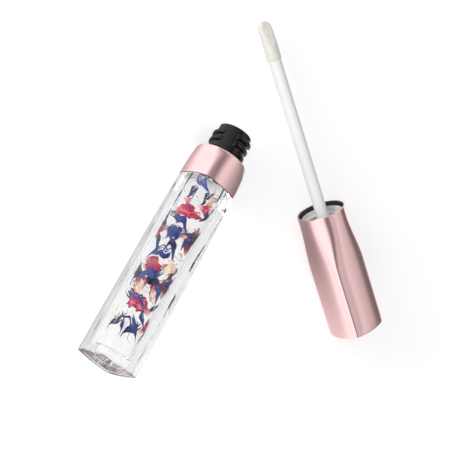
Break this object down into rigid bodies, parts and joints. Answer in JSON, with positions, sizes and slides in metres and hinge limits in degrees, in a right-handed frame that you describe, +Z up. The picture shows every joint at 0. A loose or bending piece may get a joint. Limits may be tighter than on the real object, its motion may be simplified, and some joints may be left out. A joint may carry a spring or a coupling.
{
  "type": "lip gloss tube",
  "caption": "Clear thick-walled lip gloss tube with petals in oil, a threaded neck, and a square-ended metal cap with a flocked wand, laid open.",
  "frame": {"origin": "centre of the laid-out tube's footprint, on the surface it lies on", "axes": "+X out of the bottle's base along the bottle's axis (the neck points to -X), +Z up"},
  "size_m": [0.1236, 0.1004, 0.0165],
  "materials": {
    "clear_wall": "thick clear polished plastic, glass-like",
    "clear_oil": "clear oil",
    "blue_petal": "dried blue flower petals",
    "red_petal": "dried red flower petals",
    "fleck": "dried pale petal flecks",
    "rose_metal": "satin rose-gold metallised",
    "black_neck": "glossy black moulded plastic",
    "soft_seal": "soft seal",
    "wiper_plastic": "soft translucent plastic",
    "white_plastic": "white moulded plastic",
    "core_plastic": "plain plastic pin",
    "plain_steel": "turned steel",
    "flock": "ivory flock"
  },
  "bodies": {
    "bottle": {"bottle": "clear_wall", "gloss_oil": "clear_oil", "blue_petals": "blue_petal", "red_petals": "red_petal", "petal_flecks": "fleck", "collar": "rose_metal", "neck": "black_neck", "neck_gasket": "soft_seal", "wiper": "wiper_plastic"},
    "core": {"wand_core": "core_plastic"},
    "weight": {"cap_weight": "plain_steel"},
    "washer": {"seal_washer": "soft_seal"},
    "cap": {"cap_shell": "rose_metal", "inner_cap": "white_plastic", "wand_stem": "white_plastic", "applicator_core": "core_plastic", "flock_tip": "flock"}
  },
  "joints": [
    {"name": "cap_carry", "type": "hinge", "parent": "bottle", "child": "core", "pos_m": [-0.0488, -0.03507, 0.00825], "axis": [0, 0, 1], "range_deg": [0, 120.8]},
    {"name": "wand_insert", "type": "slide", "parent": "core", "child": "weight", "axis": [-0.512, -0.859, 0], "range_m": [0, 0.07845]},
    {"name": "thread_travel", "type": "slide", "parent": "weight", "child": "washer", "axis": [-0.512, -0.859, 0], "range_m": [0, 0.00375]},
    {"name": "cap_turn", "type": "hinge", "parent": "washer", "child": "cap", "pos_m": [-0.02608, 0.00806, 0.00825], "axis": [-0.512, -0.859, 0], "range_deg": [0, 540]}
  ],
  "couplings": [
    {"joint": "thread_travel", "follows": "cap_turn", "m_per_rad": 0.00039789}
  ]
}
